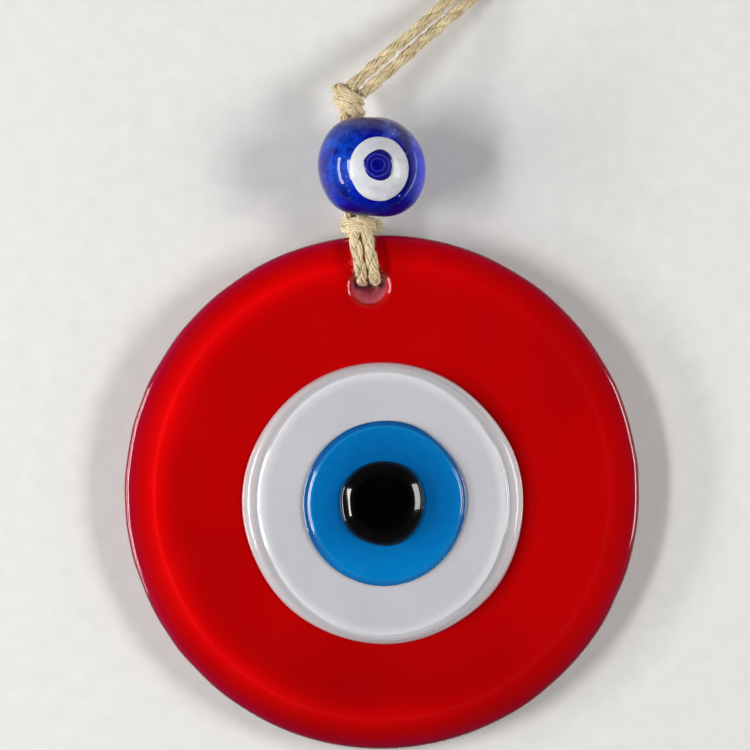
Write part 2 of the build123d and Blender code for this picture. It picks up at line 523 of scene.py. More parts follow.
hemp = hempFinish("hempTwine", (0.86, 0.73, 0.47), (0.44, 0.31, 0.15))
hempFuzz = hempFinish("hempFuzz", (0.90, 0.82, 0.62), (0.68, 0.55, 0.34))

loopTwine = tubes("hangingLoop", laidFibres(loopPath, 1))
loopFuzz = tubes("loopFuzz", hairs(loopPath, 9, 11), 0)
finishPiece(loopTwine, hemp, "hanger", "hemp", "hanger_loop")
finishPiece(loopFuzz, hempFuzz, "hanger", "hemp")
print("hanging loop made")

# the tie: each strand leaves the knot, crosses the rim, goes down the hole and comes up behind
tie = {
    "route": [  # along the disc's Y, and above its back
        (47.0, 6.6), (45.2, 6.0), (43.0, 6.3), (39.8, 7.2), (37.3, 5.6), (37.1, 2.6), (37.15, -0.2),
        (38.2, -1.12), (41.0, -1.15), (43.6, -1.15), (45.6, -0.9), (46.8, 0.8), (46.9, 2.8), (46.8, 4.6),
    ],
    "knotX": -1.2,
    "holeX": 0.0,
    "blendStart": 43.5,
    "blendEnd": 46.5,
    "blendHeight": 4.9,
    "hairs": 12,  # to a millimetre
    "longestHair": 1.3,
}


def tieStrand(name, side, seed, node):
    lowest = min(y for y, z in tie["route"])
    highest = max(y for y, z in tie["route"])
    route = []
    for y, z in tie["route"]:
        share = (y - lowest) / (highest - lowest)
        middle = tie["holeX"] + share * (tie["knotX"] - tie["holeX"])
        route.append((middle + side * twine["pitch"] / 2, y, z))
    path = followed(route, name + "Line", discFrame)
    strand = pressed(tubes(name, laidFibres(path, seed)))
    finishPiece(strand, hemp, None, "hemp", node)
    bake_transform(strand)
    loose = hairs(path, tie["hairs"], seed + 40, longest=tie["longestHair"])
    fuzzy = pressed(tubes(name + "Fuzz", loose, 0), beadRoom["hairGive"])
    finishPiece(fuzzy, hempFuzz, None, "hemp")
    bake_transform(fuzzy)


tieStrand("tieLeft", -1, 3, "tie_strand_left")
tieStrand("tieRight", 1, 4, "tie_strand_right")
print("tie made")

beadStrands = {"x": -1.4, "z": 7.8, "stops": (46.2, 50.2, 57, 65.6, 69.6)}


def beadStrand(name, side, seed, node):
    x = beadStrands["x"] + side * twine["pitch"] / 2
    route = [(x, y, beadStrands["z"]) for y in beadStrands["stops"]]
    path = followed(route, name + "Line")
    strand = tubes(name, laidFibres(path, seed))
    finishPiece(strand, hemp, "hanger", "hemp", node)


beadStrand("beadStrandLeft", -1, 5, "bead_strand_left")
beadStrand("beadStrandRight", 1, 6, "bead_strand_right")

# the knots: turns of the same twine round the two strands
lowerKnot = {
    "middle": (-1.2, 46.65, 7.2),
    "across": 2.3,
    "deep": 2.0,
    "rise": 1.35,  # mm per turn
    "turns": 2.2,
    "lean": 0.05,
    "start": 200,
}
upperKnot = {
    "middle": (-1.6, 68.35, 7.8),
    "across": 1.85,
    "deep": 1.75,
    "rise": 1.9,
    "turns": 2.3,
    "lean": -0.5,
    "start": 230,
}


knotEnds = {"tuck": 0.35, "over": 2.5}  # how far in each end goes, and over how many points


def knotRoute(knot, pointsPerTurn=10):
    cx, cy, cz = knot["middle"]
    steps = round(knot["turns"] * pointsPerTurn)
    route = []
    for i in range(steps + 1):
        angle = math.radians(knot["start"]) + math.tau * knot["turns"] * i / steps
        # both ends tuck in under the turns
        inward = 1 - knotEnds["tuck"] * max(0, 1 - min(i, steps - i) / knotEnds["over"])
        x = knot["across"] * inward * math.cos(angle)
        z = knot["deep"] * inward * math.sin(angle)
        y = knot["rise"] * knot["turns"] * (i / steps - 0.5) + knot["lean"] * x
        route.append((cx + x, cy + y, cz + z))
    return route


def makeKnot(name, knot, seed, node):
    path = followed(knotRoute(knot), name + "Line")
    piece = pressed(tubes(name, laidFibres(path, seed)))
    finishPiece(piece, hemp, "hanger", "hemp", node)
    return path


lowerPath = makeKnot("lowerKnotTwine", lowerKnot, 7, "lower_knot")
upperPath = makeKnot("upperKnotTwine", upperKnot, 8, "upper_knot")

# the twine's two cut ends, frayed
tips = {
    "headings": ((1.0, 0.02, 0.15), (1.0, -0.14, -0.3)),
    "reach": 4.7,
    "fibres": 34,
    "fan": 0.14,
    "bunch": 0.35,
    "radius": (0.07, 0.11),
    "thinning": 0.7,
    "runs": 5,
}


def makeTips():
    draw = random.Random(21)
    lines = []
    for heading in tips["headings"]:
        for _ in range(tips["fibres"]):
            fan = Vector((0, draw.gauss(0, tips["fan"]), draw.gauss(0, tips["fan"])))
            start = Vector((0, draw.gauss(0, tips["bunch"]), draw.gauss(0, tips["bunch"])))
            length = tips["reach"] * draw.uniform(0.72, 1.0)
            line, radii = [], []
            for i in range(tips["runs"] + 1):
                share = i / tips["runs"]
                spot = Vector(lowerKnot["middle"]) + start + Vector(heading) * length * share
                spot += fan * length * share * share
                line.append(spot * mm)
                radii.append(draw.uniform(*tips["radius"]) * (1 - tips["thinning"] * share * share))
            lines.append((line, radii))
    piece = pressed(tubes("frayedTips", lines, 0))
    finishPiece(piece, hemp, "hanger", "hemp", "twine_ends")


makeTips()
hairsPerMm = 26
knotHairs = hairs(lowerPath, hairsPerMm, 31, longest=2.4) + hairs(upperPath, hairsPerMm, 32, longest=3.2)
knotFuzz = pressed(tubes("knotFuzz", knotHairs, 0), beadRoom["hairGive"])
finishPiece(knotFuzz, hempFuzz, "hanger", "hemp")
print("knots made")


# the raised layers: each has a level top with a slightly raised rim, then a shoulder and an edge
layers = {
    "white": {
        "middle": (0.06, -1.95), "foot": 5.2, "radius": 24.55, "height": 1.25,
        "rimStretch": (-0.045, 0.03), "rimShift": (0.1, -0.1),
        "edge": [(24.55, 0), (24.5, 0.35), (24.35, 0.52), (24.05, 0.6), (23.85, 0.63), (23.68, 0.76),
                 (23.4, 0.84), (22.9, 0.88), (22.6, 0.93), (22.38, 1.14), (22.1, 1.25), (21.7, 1.25),
                 (20.9, 1.2), (19.8, 1.18)],
    },
    "blue": {
        "middle": (0.29, -1.86), "foot": 6.4, "radius": 14.3, "height": 0.95,
        "rimStretch": (-0.012, 0.012), "rimShift": (0.3, 0.0),
        "edge": [(14.3, 0), (14.28, 0.36), (14.15, 0.52), (13.85, 0.6), (13.55, 0.66), (13.36, 0.84),
                 (13.12, 0.95), (12.8, 0.95), (12.3, 0.9), (11.6, 0.88)],
    },
    "pupil": {
        "middle": (0.0, -1.75), "foot": 7.35, "radius": 7.45, "height": 1.75,
        "rimStretch": (0.0, 0.0), "rimShift": (0.0, 0.0),
        "edge": [(7.45, 0), (7.42, 0.34), (7.22, 0.62), (6.85, 0.86), (6.35, 1.12), (5.75, 1.4),
                 (5.0, 1.62), (3.9, 1.73), (2.0, 1.75)],
    },
}
sunk = 0.35  # each layer goes this far into the one under it


# the glass disc
disc = {
    "radius": 45.0,
    "thickness": 5.2,
    "widest": 2.0,
    "flatRadius": 37.5,
    "fallingFace": [  # from the rim's upright side in to the flat face
        (45.0, 2.0), (45.0, 3.3), (44.95, 4.15), (44.4, 4.62), (43.6, 4.74), (41.8, 4.93),
        (40.1, 5.05), (39.5, 5.18), (38.6, 5.2), (37.5, 5.2),
    ],
    "holeRadius": 3.0,
    "holeAt": 36.0,
    "mouth": 1.2,
    "backRound": 1.0,
    "slant": 0.95,
    "slantTop": 4.3,
    "pinch": 0.22,
    "outlineWobble": 0.13,
    "outlineWaves": 1.3,
    "faceWobble": 0.035,
    "faceWaveLength": 17,
    "cutPast": 1.5,  # how far the hole's cutter goes past both faces
    "turns": 200,
    "holeTurns": 64,
    "faceRings": 24,
}


def discProfile():
    radius, widest, rings = disc["radius"], disc["widest"], disc["faceRings"]
    top = disc["thickness"]
    points = flatRun(0, radius - widest, 0, rings)
    points += quarterRound((radius - widest, widest), widest, widest, -90, 0, 7)
    points += softened(disc["fallingFace"])[1:]
    return points + flatRun(disc["flatRadius"], 0, top, rings)[1:] + [(0, top)]


def holeProfile():
    radius, mouth, back = disc["holeRadius"], disc["mouth"], disc["backRound"]
    top = disc["thickness"]
    past = disc["cutPast"]
    points = [(0, -past), (radius + back, -past)]
    points += quarterRound((radius + back, back), back, back, -90, -180, 6)
    points += quarterRound((radius + mouth, top - mouth), mouth, mouth, 180, 90, 9)
    return points + [(radius + mouth, top + past), (0, top + past)]


def slopeBackOfHole(bm):
    # the drill leaves the far side of the hole's wall slanting inwards, rough and pale
    for vertex in bm.verts:
        x, y, z = vertex.co / mm
        depth = min(1, max(0, 1 - z / disc["slantTop"]))
        vertex.co.x *= 1 - disc["pinch"] * depth
        if y < 0:
            vertex.co.y *= 1 - disc["slant"] * depth


def wobbleDisc(bm):
    radius, waves, length = disc["radius"], disc["outlineWaves"], disc["faceWaveLength"]
    for vertex in bm.verts:
        x, y, z = vertex.co / mm
        outward = wave(waves * x / radius + 4, waves * y / radius, disc["outlineWobble"])
        outward *= math.hypot(x, y) / radius
        vertex.co.x += outward * mm * x / radius
        vertex.co.y += outward * mm * y / radius
        if z > disc["widest"]:
            lift = noise.noise(Vector((x / length, y / length, 3.7))) * disc["faceWobble"]
            vertex.co.z += lift * mm * min(1, (z - disc["widest"]) / 2)


def redPaintedRimLight(tree, reach, paintedGlowLeftness):
    # painted light: the red is painted brighter in a ring just inside the rim and darker magenta at the rim
    # itself, strongest on the left where the light comes from
    body = (0.435, 0.0, 0.0005)
    glow = ramp(tree, reach, [
        (0.0, body), (0.78, body), (0.83, (0.52, 0.0, 0.0006)), (0.862, (0.64, 0.0, 0.0008)),
        (0.886, (0.74, 0.0002, 0.0008)), (0.905, (0.64, 0.0, 0.0008)), (0.93, (0.52, 0.0, 0.0008)),
        (0.955, (0.44, 0.0, 0.003)), (0.972, (0.36, 0.0, 0.012)), (0.985, (0.34, 0.001, 0.022)),
        (0.998, (0.20, 0.001, 0.022)),
    ])
    paintedWeakRimGlow = ramp(tree, reach, [
        (0.0, body), (0.85, (0.43, 0.0, 0.0006)), (0.89, (0.46, 0.0, 0.0006)),
        (0.92, (0.42, 0.0, 0.001)), (0.96, (0.36, 0.0, 0.002)), (0.985, (0.30, 0.0005, 0.012)),
        (0.998, (0.20, 0.0005, 0.015)),
    ])
    return mixed(tree, paintedGlowLeftness, paintedWeakRimGlow, glow)


def redFinish():
    material, tree, shader = newFinish("redGlass")
    place = objectPlace(tree)
    x, y, z = partsOf(tree, place)
    flat, reach = flattened(tree, place)
    slow = cloudNoise(tree, place, 45, 2.0)
    reach = maths(tree, "DIVIDE", reach, disc["radius"] * mm)
    reach = maths(tree, "ADD", reach, times(tree, maths(tree, "SUBTRACT", slow, 0.5), 0.03))
    # painted light towards the rim, stronger on the left
    colour = redPaintedRimLight(tree, reach, spread(tree, x, 0.030, -0.016))
    # painted shadow of the white layer on the red beside its right edge, and painted shade darker towards
    # the bottom
    whiteX, whiteY = layers["white"]["middle"]
    fromWhite = vectorMaths(tree, "DISTANCE", flat, (whiteX * mm, whiteY * mm, 0))
    paintedShadowBesideWhite = times(tree, spread(tree, fromWhite, 0.0275, 0.0245), spread(tree, x, 0.006, 0.020), True)
    low = times(tree, spread(tree, y, -0.020, -0.044), 0.26)
    paintedShade = maths(tree, "MAXIMUM", times(tree, paintedShadowBesideWhite, 0.42), low)
    colour = mixed(tree, paintedShade, colour, (0.0, 0.0, 0.0))
    # the hole's wall is rough and pale; its reddish tint and a faint glow are painted light, standing in
    # for light that comes through the glass to it
    hole = discFrame @ Vector((0, disc["holeAt"] * mm, disc["backRound"] * mm))
    fromHole = vectorMaths(tree, "DISTANCE", flat, (hole.x, hole.y, 0))
    inHole = times(tree, spread(tree, fromHole, 0.0033, 0.0029), spread(tree, z, 0.0070, 0.0062), True)
    frostedWallAndGlow = ramp(tree, cloudNoise(tree, place, 1500, 4.0, 0.7),
                   [(0.3, (0.46, 0.075, 0.11)), (0.7, (0.60, 0.13, 0.18))])
    colour = mixed(tree, inHole, colour, frostedWallAndGlow)
    # painted glow: the wall gives off a little light of its own colour
    tree.links.new(frostedWallAndGlow, shader.inputs["Emission Color"])
    tree.links.new(times(tree, inHole, 0.13), shader.inputs["Emission Strength"])
    cloudy = spread(tree, slow, 0.3, 0.7, 0.90, 1.08)
    tint = addNode(tree, "CombineXYZ", [(0, cloudy), (1, cloudy), (2, cloudy)]).outputs[0]
    colour = mixed(tree, 1.0, colour, tint, "MULTIPLY")
    tree.links.new(colour, shader.inputs["Base Color"])
    setShader(shader, Specular_IOR_Level=0.04, Coat_Weight=1.0, Coat_Roughness=0.02, Coat_IOR=1.5)
    smudge = cloudNoise(tree, place, 120, 5.0, 0.6)
    tree.links.new(spread(tree, smudge, 0.3, 0.8, 0.30, 0.45), shader.inputs["Roughness"])
    return material


def makeDisc():
    bm = spunForm(discProfile(), disc["turns"])
    wobbleDisc(bm)
    bm.transform(discFrame)
    piece = newObject("redDiscGlass", meshFrom(bm, "redDiscGlass"))
    cutterForm = spunForm(holeProfile(), disc["holeTurns"])
    slopeBackOfHole(cutterForm)
    cutterForm.transform(discFrame @ Matrix.Translation((0, disc["holeAt"] * mm, 0)))
    cutBy(piece, newObject("holeCutter", meshFrom(cutterForm, "holeCutter")))
    finishPiece(piece, redFinish(), "disc", "red_glass", "red_disc")


makeDisc()
print("red disc made")


layerShape = {
    "turns": 160,
    "rimAt": 0.88,  # as a share of the radius
    "rimReach": 0.12,
    "rimFrom": 0.5,  # mm above the layer's foot
    "outlineWaves": 1.4,
    "lumpLength": 9,
    "lumps": 0.02,
}


def layerForm(layer, seed, wobble):
    radius, height, waves = layer["radius"], layer["height"], layerShape["outlineWaves"]
    inner, top = layer["edge"][-1]
    points = flatRun(0, radius, -sunk, 6) + [(radius, -sunk)]
    points += softened(layer["edge"])
    points += flatRun(inner, 0, top, 12)[1:] + [(0, top)]
    bm = spunForm(points, layerShape["turns"])
    stretchX, stretchY = layer["rimStretch"]
    shiftX, shiftY = layer["rimShift"]
    for vertex in bm.verts:
        x, y, z = vertex.co / mm
        if z > layerShape["rimFrom"]:
            # the raised rim of the top isn't quite round, nor quite in the middle
            fromRim = abs(math.hypot(x, y) / radius - layerShape["rimAt"])
            amount = max(0, 1 - fromRim / layerShape["rimReach"])
            vertex.co.x += (x * stretchX + shiftX) * amount * mm
            vertex.co.y += (y * stretchY + shiftY) * amount * mm
        out = noise.noise(Vector((waves * x / radius + seed, waves * y / radius, seed))) * wobble
        vertex.co.x += out * mm * x / radius
        vertex.co.y += out * mm * y / radius
        if z > 0:
            lump = Vector((x / layerShape["lumpLength"], y / layerShape["lumpLength"], seed))
            vertex.co.z += noise.noise(lump) * layerShape["lumps"] * mm * z / height
    bm.transform(discFrame @ Matrix.Translation(Vector((*layer["middle"], layer["foot"])) * mm))
    return bm


def reachFrom(tree, layer):
    # distance from the layer's middle as a share of its radius
    middle = discFrame @ (Vector((*layer["middle"], layer["foot"])) * mm)
    place = objectPlace(tree, middle)
    flat, reach = flattened(tree, place)
    # the same for the rim of its top, which is a little out of round
    stretchX, stretchY = layer["rimStretch"]
    shiftX, shiftY = layer["rimShift"]
    level = vectorMaths(tree, "SUBTRACT", flat, (shiftX * mm, shiftY * mm, 0))
    level = vectorMaths(tree, "MULTIPLY", level, (1 / (1 + stretchX), 1 / (1 + stretchY), 0))
    rim = vectorMaths(tree, "LENGTH", level)
    radius = layer["radius"] * mm
    return place, maths(tree, "DIVIDE", reach, radius), maths(tree, "DIVIDE", rim, radius)


def whiteFinish():
    material, tree, shader = newFinish("whiteGlass")
    place, reach, rim = reachFrom(tree, layers["white"])
    slow = cloudNoise(tree, place, 60, 3.0)
    speck = cloudNoise(tree, place, 900, 4.0, 0.7)
    # painted highlight: a bright ring on the raised rim of the top; outside it darker, turning pinker
    # towards the edge as a painted reflection of the red glass
    base = ramp(tree, rim, [
        (0.0, (0.52, 0.515, 0.545)), (0.84, (0.53, 0.525, 0.555)), (0.885, (0.62, 0.62, 0.65)),
        (0.91, (0.70, 0.70, 0.72)), (0.925, (0.46, 0.44, 0.455)), (0.95, (0.45, 0.425, 0.435)),
        (0.98, (0.55, 0.50, 0.51)), (1.0, (0.60, 0.55, 0.56)),
    ])
    # painted reflection of the red glass: the very edge turns pink
    edge = ramp(tree, reach, [(0.975, (1.0, 1.0, 1.0)), (0.995, (0.86, 0.56, 0.57))])
    base = mixed(tree, 1.0, base, edge, "MULTIPLY")
    shade = maths(tree, "ADD", times(tree, slow, 0.75), times(tree, speck, 0.25))
    veil = ramp(tree, shade, [(0.3, (0.90, 0.91, 0.93)), (0.65, (1.0, 1.0, 1.0))])
    tree.links.new(mixed(tree, 1.0, base, veil, "MULTIPLY"), shader.inputs["Base Color"])
    setShader(shader, Specular_IOR_Level=0.2, Coat_Weight=1.0, Coat_Roughness=0.03)
    tree.links.new(spread(tree, speck, 0.3, 0.7, 0.24, 0.36), shader.inputs["Roughness"])
    bumped(tree, shader, speck, 0.00002, 0.15)
    return material


def blueFinish():
    material, tree, shader = newFinish("lightBlueGlass")
    place, reach, rim = reachFrom(tree, layers["blue"])
    slow = cloudNoise(tree, place, 90, 3.0)
    fine = cloudNoise(tree, place, 700, 4.0, 0.7)
    # painted highlight: a bright thin ring on the raised rim of the top
    base = ramp(tree, rim, [
        (0.0, (0.0, 0.115, 0.345)), (0.60, (0.0, 0.11, 0.335)), (0.80, (0.0, 0.135, 0.40)),
        (0.90, (0.0, 0.15, 0.43)), (0.93, (0.001, 0.20, 0.50)), (0.945, (0.0, 0.10, 0.33)),
        (0.975, (0.0, 0.09, 0.30)), (1.0, (0.0, 0.075, 0.26)),
    ])
    # brighter in its lower part
    _, upright, _ = partsOf(tree, place)
    lower = times(tree, spread(tree, upright, -0.004, -0.011), 0.55)
    base = mixed(tree, lower, base, (0.0, 0.215, 0.56))
    edge = ramp(tree, reach, [(0.97, (1.0, 1.0, 1.0)), (0.995, (0.7, 0.75, 0.8))])
    base = mixed(tree, 1.0, base, edge, "MULTIPLY")
    shade = maths(tree, "ADD", times(tree, slow, 0.6), times(tree, fine, 0.4))
    veil = ramp(tree, shade, [(0.3, (0.88, 0.90, 0.92)), (0.7, (1.06, 1.05, 1.04))])
    tree.links.new(mixed(tree, 1.0, base, veil, "MULTIPLY"), shader.inputs["Base Color"])
    setShader(shader, Specular_IOR_Level=0.2, Coat_Weight=1.0, Coat_Roughness=0.02)
    tree.links.new(spread(tree, fine, 0.3, 0.7, 0.22, 0.34), shader.inputs["Roughness"])
    return material


def pupilFinish():
    material, tree, shader = newFinish("blackGlass")
    place, reach, _ = reachFrom(tree, layers["pupil"])
    cloud = cloudNoise(tree, place, 240, 3.0)
    base = ramp(tree, cloud, [(0.35, (0.0002, 0.0002, 0.0003)), (0.7, (0.0008, 0.0008, 0.0012))])
    edge = ramp(tree, reach, [(0.9, (0.0, 0.0, 0.0)), (1.0, (0.003, 0.012, 0.03))])
    tree.links.new(mixed(tree, 1.0, base, edge, "ADD"), shader.inputs["Base Color"])
    setShader(shader, Specular_IOR_Level=0.1, Coat_Weight=0.8, Coat_Roughness=0.01, Coat_IOR=1.4)
    tree.links.new(spread(tree, cloud, 0.3, 0.7, 0.08, 0.16), shader.inputs["Roughness"])
    return material


def makeLayer(name, key, seed, wobble, finish, slot, node):
    bm = layerForm(layers[key], seed, wobble)
    piece = newObject(name, meshFrom(bm, name, 50))
    finishPiece(piece, finish, "disc", slot, node)


makeLayer("whiteLayer", "white", 2.3, 0.45, whiteFinish(), "white_glass", "white_disc")
makeLayer("blueLayer", "blue", 5.1, 0.4, blueFinish(), "light_blue_glass", "blue_disc")
makeLayer("blackPupil", "pupil", 3.4, 0.3, pupilFinish(), "black_glass", "black_pupil")
print("layers made")


# the bead, and the eye on it
bead = {
    "middle": (1.7, 56.65, 9.85),
    "radius": 9.2,
    "halfLength": 8.6,
    "endRadius": 2.4,
    "boreX": -1.4,
    "boreZ": 7.8,
    "boreRadius": 2.45,
    "boreReach": 12,
    "wobble": 0.22,
    "wobbleWaves": 1.1,
    "fineShare": 0.22,  # of the wobble
    "fineWaves": 3.2,
    "inset": 0.03,
    "widening": 1.035,
    "lowerSwell": 1.0,
    "upperSwell": 1.15,
    # way from the middle, how far it stands out, and how local it is
    "presses": [
        ((0.66, 0.72, 0.1), -0.4, 6), ((-0.55, 0.80, 0.15), 0.25, 14), ((0.72, -0.66, 0.0), 0.3, 7),
        ((0.25, -0.93, 0.3), 0.38, 12), ((-0.85, -0.5, 0.1), -0.12, 6),
        ((-0.33, -0.92, -0.22), -0.27, 9), ((-0.33, 0.92, -0.22), -0.12, 9),
    ],
    "eyeLean": (1.2, -0.6, 8.9),
    "eyeHalfWidth": 5.15,
    "eyeHalfHeight": 5.58,
    "eyeShift": (0.2, -0.17),
    "irisRadius": 2.65,
    "irisShift": (0.07, 0.5),
    "irisMiddle": (1.0, -0.1, 0),  # of its rings, from the bead's middle
    "proud": 0.12,
    "rooted": 0.12,  # the eye's wall goes into the bead by four times this
    "dropFrom": 30,  # well above the bead
    "turns": 96,
    "boreTurns": 40,
    "eyeTurns": 72,
}
beadMiddle = Vector(bead["middle"]) * mm


def beadProfile(steps=40):
    # a round bead with small flat ends, from pole to pole along its bore
    half, flat = bead["halfLength"], bead["endRadius"]
    points = [(0, -half)]
    for i in range(steps + 1):
        angle = math.radians(-90 + 180 * i / steps)
        bulge = abs(math.cos(angle)) ** (bead["lowerSwell"] if angle < 0 else bead["upperSwell"])
        points.append((flat + (bead["radius"] - flat) * bulge, half * math.sin(angle)))
    return points + [(0, half)]


def makeBeadBody():
    bm = spunForm(beadProfile(), bead["turns"], axis=(0, 1, 0))
    for vertex in bm.verts:
        way = vertex.co.normalized()
        broad = noise.noise(way * bead["wobbleWaves"] + Vector((3.1, 0.4, 7.7)))
        fine = noise.noise(way * bead["fineWaves"] + Vector((1.1, 8.4, 2.7)))
        dent = (broad + fine * bead["fineShare"]) * bead["wobble"]
        for press, amount, tightness in bead["presses"]:
            # hand-shaped: pressed in or left full in a few places
            dent += amount * math.exp(tightness * (way.dot(Vector(press).normalized()) - 1))
        vertex.co += way * (dent - bead["inset"]) * mm
        vertex.co.x *= bead["widening"]
    bmesh.ops.translate(bm, verts=bm.verts, vec=beadMiddle)
    skin = BVHTree.FromBMesh(bm)
    piece = newObject("beadGlass", meshFrom(bm, "beadGlass"))
    radius, reach = bead["boreRadius"], bead["boreReach"]
    boreProfile = [(0, -reach), (radius, -reach), (radius, reach), (0, reach)]
    boreForm = spunForm(boreProfile, bead["boreTurns"], axis=(0, 1, 0))
    bore = Vector((bead["boreX"], bead["middle"][1], bead["boreZ"])) * mm
    bmesh.ops.translate(boreForm, verts=boreForm.verts, vec=bore)
    cutBy(piece, newObject("boreCutter", meshFrom(boreForm, "boreCutter")))
    return piece, skin


def eyePatch(name, skin, halfWidth, halfHeight, shift, proud, seed, wobble):
    # a thin glass dot laid on the bead: flat form first, then dropped on the bead's surface
    way = Vector(bead["eyeLean"]).normalized()
    side = (Vector((1, 0, 0)) - way * way.x).normalized()
    up = way.cross(side)
    level = 0.93  # the share of its radius that is flat, inside the rounded edge
    rounding = quarterRound((level, 0), 1 - level, 1, 0, 90, 6)
    points = flatRun(0, 1, -4, 5) + [(1, -4)] + rounding + flatRun(level, 0, 1, 16)[1:] + [(0, 1)]
    bm = spunForm(points, bead["eyeTurns"])
    for vertex in bm.verts:
        x, y, h = vertex.co / mm
        edge = 1 + noise.noise(Vector((x * 1.3 + seed, y * 1.3, seed))) * wobble
        reachX = x * halfWidth * edge + shift[0]
        reachY = y * halfHeight * edge + shift[1]
        above = beadMiddle + (side * reachX + up * reachY + way * bead["dropFrom"]) * mm
        spot = skin.ray_cast(above, -way)[0]
        lift = (proud if h > 0 else bead["rooted"]) * h
        vertex.co = spot + way * lift * mm
    return newObject(name, meshFrom(bm, name, 60))


def cobaltFinish():
    material, tree, shader = newFinish("cobaltGlass")
    place = objectPlace(tree, beadMiddle)
    inMm = addNode(tree, "VectorMath", [(0, place), ("Scale", 1 / mm)], operation="SCALE").outputs[0]
    x, y, _ = partsOf(tree, inMm)
    clouds = cloudNoise(tree, place, 230, 5.0, 0.62, 0.6)
    fine = cloudNoise(tree, place, 1300, 4.0, 0.7)
    base = ramp(tree, clouds, [
        (0.32, (0.0003, 0.0006, 0.05)), (0.43, (0.0003, 0.001, 0.15)), (0.53, (0.0004, 0.003, 0.32)),
        (0.64, (0.0006, 0.014, 0.42)), (0.78, (0.003, 0.05, 0.50)),
    ])
    # painted light: azure on one side where light passes through the glass; navy at the threaded ends, grey
    # cloud and pale seeds near the top
    paintedAzureLight = times(tree, spread(tree, x, -0.5, -4.5), spread(tree, y, -7.0, 0.0), True)
    paintedAzureLight = times(tree, paintedAzureLight, spread(tree, x, -8.4, -7.0), True)
    paintedAzureLight = times(tree, paintedAzureLight, spread(tree, clouds, 0.38, 0.56, 0.1, 1.0), True)
    base = mixed(tree, paintedAzureLight, base, (0.0, 0.06, 0.50))
    top = times(tree, spread(tree, y, 5.2, 8.0), 0.85)
    base = mixed(tree, top, base, (0.004, 0.006, 0.12))
    grey = times(tree, spread(tree, y, 5.0, 7.5), spread(tree, clouds, 0.45, 0.6), True)
    base = mixed(tree, times(tree, grey, 0.6), base, (0.05, 0.065, 0.20))
    bottom = times(tree, spread(tree, y, -5.5, -8.2), spread(tree, x, 6.0, 1.0, 0.25, 0.75))
    base = mixed(tree, bottom, base, (0.0008, 0.001, 0.10))
    # light gathers in the glass along both sides
    right = times(tree, spread(tree, x, 6.9, 8.8), 0.9)
    base = mixed(tree, right, base, (0.03, 0.045, 0.72))
    left = times(tree, spread(tree, x, -8.0, -9.0), 0.6)
    base = mixed(tree, left, base, (0.03, 0.04, 0.26))
    _, reach = flattened(tree, inMm)
    # painted highlight: a thin bright line near the right edge
    line = ramp(tree, spread(tree, reach, 7.0, 9.0),
                [(0.30, (0, 0, 0)), (0.40, (1, 1, 1)), (0.50, (0, 0, 0))])
    line = times(tree, line, spread(tree, x, 4.6, 6.2), True)
    line = times(tree, line, spread(tree, y, 2.5, 0.5), True)
    base = mixed(tree, line, base, (0.20, 0.27, 0.90))
    # streaky glass: fine navy threads through the blue
    threads = spread(tree, cloudNoise(tree, place, 620, 5.0, 0.7, 1.4), 0.50, 0.62, 0.0, 0.75)
    base = mixed(tree, threads, base, (0.0003, 0.0012, 0.13))
    seeds = addNode(tree, "TexVoronoi", [("Vector", place), ("Scale", 760.0)]).outputs["Distance"]
    seeds = ramp(tree, seeds, [(0.10, (1, 1, 1)), (0.22, (0, 0, 0))])
    corner = times(tree, spread(tree, x, 2.0, 4.5), spread(tree, y, 2.5, 4.8), True)
    patch = maths(tree, "MAXIMUM", spread(tree, cloudNoise(tree, place, 330, 2.0), 0.56, 0.72), corner)
    base = mixed(tree, times(tree, times(tree, seeds, patch), 0.85), base, (0.26, 0.36, 0.85))
    azureCloud = times(tree, corner, spread(tree, clouds, 0.48, 0.6, 0.0, 0.6))
    base = mixed(tree, azureCloud, base, (0.14, 0.20, 0.66))
    tree.links.new(base, shader.inputs["Base Color"])
    setShader(shader, Specular_IOR_Level=0.05, Coat_Roughness=0.02, Coat_IOR=1.32)
    tree.links.new(spread(tree, fine, 0.3, 0.7, 0.2, 0.34), shader.inputs["Roughness"])
    # its underside is duller
    tree.links.new(spread(tree, y, -6.5, -3.5, 0.2, 0.9), shader.inputs["Coat Weight"])
    bumped(tree, shader, clouds, 0.00012, 0.35)
    return material


def beadWhiteFinish():
    material, tree, shader = newFinish("beadWhiteGlass")
    place = objectPlace(tree, beadMiddle)
    cloud = cloudNoise(tree, place, 260, 3.0, 0.5, 0.8)
    colour = ramp(tree, cloud, [
        (0.3, (0.48, 0.50, 0.55)), (0.5, (0.60, 0.61, 0.64)), (0.7, (0.70, 0.70, 0.71)),
    ])
    tree.links.new(colour, shader.inputs["Base Color"])
    setShader(shader, Roughness=0.45, Specular_IOR_Level=0.25, Coat_Weight=0.2, Coat_Roughness=0.08)
    bumped(tree, shader, cloud, 0.0001, 0.3)
    return material


